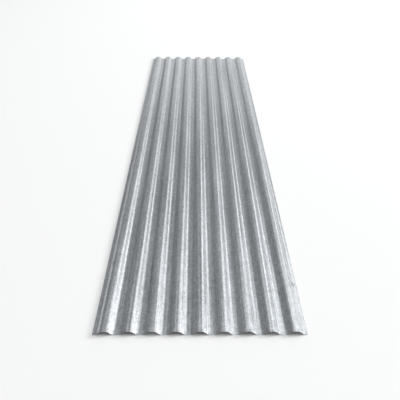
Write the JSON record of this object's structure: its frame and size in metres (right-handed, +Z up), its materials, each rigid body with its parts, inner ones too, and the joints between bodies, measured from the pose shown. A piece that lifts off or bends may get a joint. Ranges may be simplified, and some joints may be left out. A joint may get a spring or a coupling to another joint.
{
  "type": "corrugated metal sheet",
  "caption": "Long, thin galvanised steel sheet with rounded corrugations along its length and both long edges turned down, for roofing, cladding and fencing.",
  "frame": {"origin": "middle of the footprint, on the plane that the valleys and both long edges rest on", "axes": "+X across the corrugations, +Y along them, +Z up, out of the weather side"},
  "size_m": [0.665, 2.44, 0.016],
  "materials": {
    "galvanised_steel": "hot-dip zinc coating with fine spangle, satin"
  },
  "bodies": {
    "root": {"corrugated_sheet": "galvanised_steel"}
  },
  "joints": []
}
